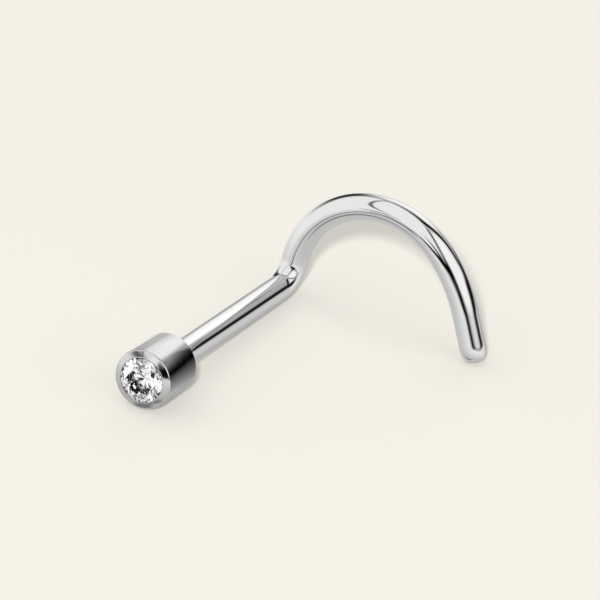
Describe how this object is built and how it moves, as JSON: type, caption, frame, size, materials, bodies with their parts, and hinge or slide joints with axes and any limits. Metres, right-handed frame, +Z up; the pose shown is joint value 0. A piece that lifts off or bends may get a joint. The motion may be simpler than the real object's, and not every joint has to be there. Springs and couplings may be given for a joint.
{
  "type": "nose stud",
  "caption": "Nose stud with a clear round brilliant in a turned bezel setting, on a straight post whose wire bends square into an arched hook with a softly rounded tip.",
  "frame": {"origin": "middle of the bounding box's base, on the surface that the stud lies on", "axes": "+Z up; +X from the bend towards the hook's tip, level in the hook's plane; -Y from the hook towards the stone, level, with the post rising 4.2 degrees from the bend to the setting"},
  "size_m": [0.0074, 0.0102, 0.004],
  "materials": {
    "clear_crystal": "clear, cut and polished facets",
    "satin_steel": "satin, turned round the post's axis",
    "polished_steel": "mirror-polished bare steel wire"
  },
  "bodies": {
    "root": {"crystal": "clear_crystal", "bezel_setting": "satin_steel", "hook_wire": "polished_steel"}
  },
  "joints": []
}
